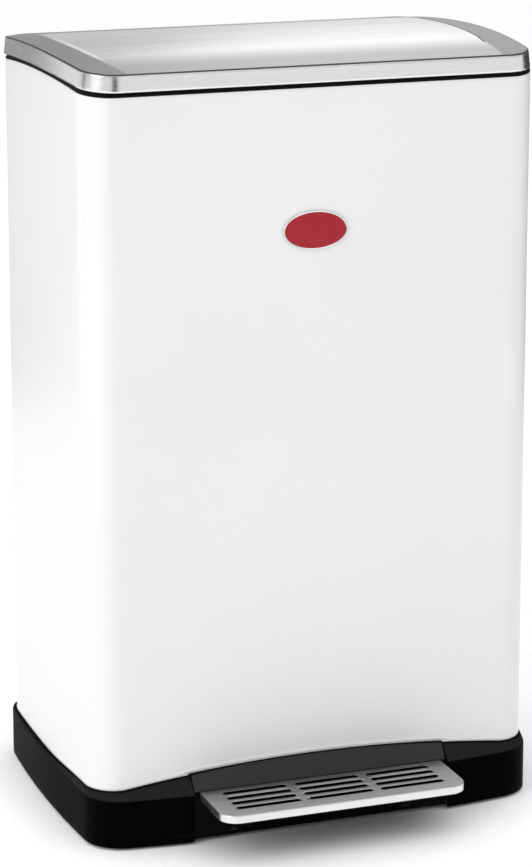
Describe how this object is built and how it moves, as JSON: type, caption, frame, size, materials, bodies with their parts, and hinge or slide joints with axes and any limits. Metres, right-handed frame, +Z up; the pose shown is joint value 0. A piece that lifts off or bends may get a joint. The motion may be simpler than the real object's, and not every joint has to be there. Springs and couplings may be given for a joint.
{
  "type": "pedal bin",
  "caption": "Upright household pedal bin: white sheet steel body, black bowed base, hinged brushed steel lid, slotted foot tread and lift-out inner buckets.",
  "frame": {"origin": "centre of the bounding box's footprint, on the surface the bin stands on", "axes": "+Z up, -Y the front with the tread, +X the bin's right as seen from the front"},
  "size_m": [0.4134, 0.3466, 0.6662],
  "materials": {
    "white_coat": "smooth semi-gloss powder coat",
    "black_moulding": "fine-textured black moulding",
    "brushed_steel": "stainless steel brushed from side to side",
    "zinc_steel": "dull zinc plate",
    "grey_plastic": "smooth grey polypropylene",
    "rubber": "matt moulded rubber",
    "red_enamel": "glossy plain red enamel"
  },
  "bodies": {
    "cabinet": {"base_moulding": "black_moulding", "pedal_panel": "black_moulding", "body_shell": "white_coat", "floor_deck": "black_moulding", "top_rim": "black_moulding", "foot_front_left": "rubber", "foot_front_right": "rubber", "foot_rear_left": "rubber", "foot_rear_right": "rubber", "lid_buffer_left": "rubber", "lid_buffer_right": "rubber", "badge": "red_enamel", "hinge_bracket_left": "zinc_steel", "hinge_bracket_right": "zinc_steel", "hinge_pin_left": "zinc_steel", "hinge_pin_right": "zinc_steel", "hinge_screw_left_a": "zinc_steel", "hinge_screw_left_b": "zinc_steel", "hinge_screw_right_a": "zinc_steel", "hinge_screw_right_b": "zinc_steel", "rod_guide_lower": "black_moulding", "rod_guide_upper": "black_moulding", "pedal_bracket_left": "zinc_steel", "pedal_bracket_right": "zinc_steel"},
    "lid": {"lid_skin": "brushed_steel", "lid_liner": "black_moulding", "hinge_leaf_left": "zinc_steel", "hinge_leaf_right": "zinc_steel", "lid_lug": "zinc_steel", "leaf_screw_left_a": "zinc_steel", "leaf_screw_left_b": "zinc_steel", "leaf_screw_right_a": "zinc_steel", "leaf_screw_right_b": "zinc_steel", "lug_screw_a": "zinc_steel", "lug_screw_b": "zinc_steel"},
    "pedal": {"rocking_shaft": "zinc_steel", "pedal_arm_left": "zinc_steel", "pedal_arm_right": "zinc_steel", "lift_arm": "zinc_steel", "shaft_clip_left": "zinc_steel", "shaft_clip_right": "zinc_steel", "tread_plate": "brushed_steel", "tread_carrier": "black_moulding"},
    "push_rod": {"lift_rod": "zinc_steel"},
    "bucket_left": {"bucket_left": "grey_plastic"},
    "bucket_right": {"bucket_right": "grey_plastic"},
    "bail_left": {"bail_left": "zinc_steel", "bail_grip_left": "black_moulding"},
    "bail_right": {"bail_right": "zinc_steel", "bail_grip_right": "black_moulding"}
  },
  "joints": [
    {"name": "lid_hinge", "type": "hinge", "parent": "cabinet", "child": "lid", "pos_m": [0, 0.16828, 0.6365], "axis": [-1, 0, 0], "range_deg": [0, 72]},
    {"name": "pedal_hinge", "type": "hinge", "parent": "cabinet", "child": "pedal", "pos_m": [0, -0.01773, 0.03], "axis": [1, 0, 0], "range_deg": [0, 11.72]},
    {"name": "rod_slide", "type": "slide", "parent": "cabinet", "child": "push_rod", "axis": [0, 0, 1], "range_m": [0, 0.03347]},
    {"name": "bucket_left_lift", "type": "slide", "parent": "cabinet", "child": "bucket_left", "axis": [0, 0, 1], "range_m": [0, 0.01]},
    {"name": "bucket_right_lift", "type": "slide", "parent": "cabinet", "child": "bucket_right", "axis": [0, 0, 1], "range_m": [0, 0.01]},
    {"name": "bail_left_swing", "type": "hinge", "parent": "bucket_left", "child": "bail_left", "pos_m": [-0.0945, 0.02227, 0.536], "axis": [0, 1, 0], "range_deg": [0, 90]},
    {"name": "bail_right_swing", "type": "hinge", "parent": "bucket_right", "child": "bail_right", "pos_m": [0.0945, 0.02227, 0.536], "axis": [0, -1, 0], "range_deg": [0, 90]}
  ],
  "couplings": [
    {"joint": "pedal_hinge", "follows": "lid_hinge", "ratio": 0.16259},
    {"joint": "rod_slide", "follows": "lid_hinge", "m_per_rad": 0.026596}
  ]
}
